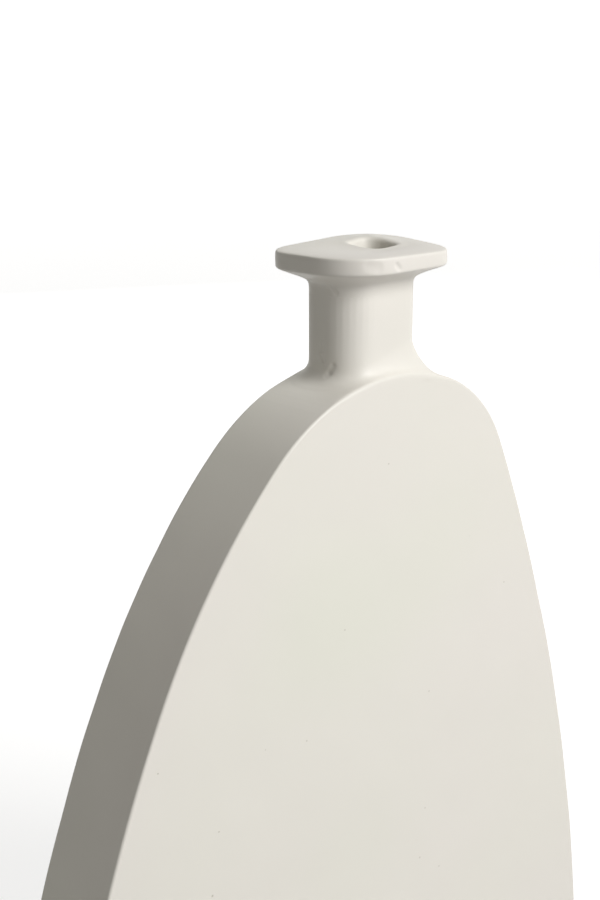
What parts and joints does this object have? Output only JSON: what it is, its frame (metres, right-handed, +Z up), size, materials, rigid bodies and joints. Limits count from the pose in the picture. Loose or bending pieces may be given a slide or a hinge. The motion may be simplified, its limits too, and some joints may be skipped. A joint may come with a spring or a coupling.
{
  "type": "flat slab-built bottle vase",
  "caption": "Flat arched ceramic bottle vase with a narrow side band, short rounded neck and thick flange rim; stands on its foot and holds a few stems.",
  "frame": {"origin": "middle of the foot, on the surface the vase stands on", "axes": "+Z up the neck, +X along the wide face to the right, -Y out of the front face"},
  "size_m": [0.352, 0.055, 0.396],
  "materials": {
    "glazed_body": "satin matt off-white glaze",
    "bare_clay": "unglazed pale stoneware"
  },
  "bodies": {
    "root": {"front_slab": "glazed_body", "back_slab": "glazed_body", "left_side_band": "glazed_body", "right_side_band": "glazed_body", "floor_slab": "bare_clay", "front_seam_coil": "bare_clay", "back_seam_coil": "bare_clay", "neck": "glazed_body", "neck_coil": "glazed_body", "rim_coil": "glazed_body", "rim_flange": "glazed_body"}
  },
  "joints": []
}
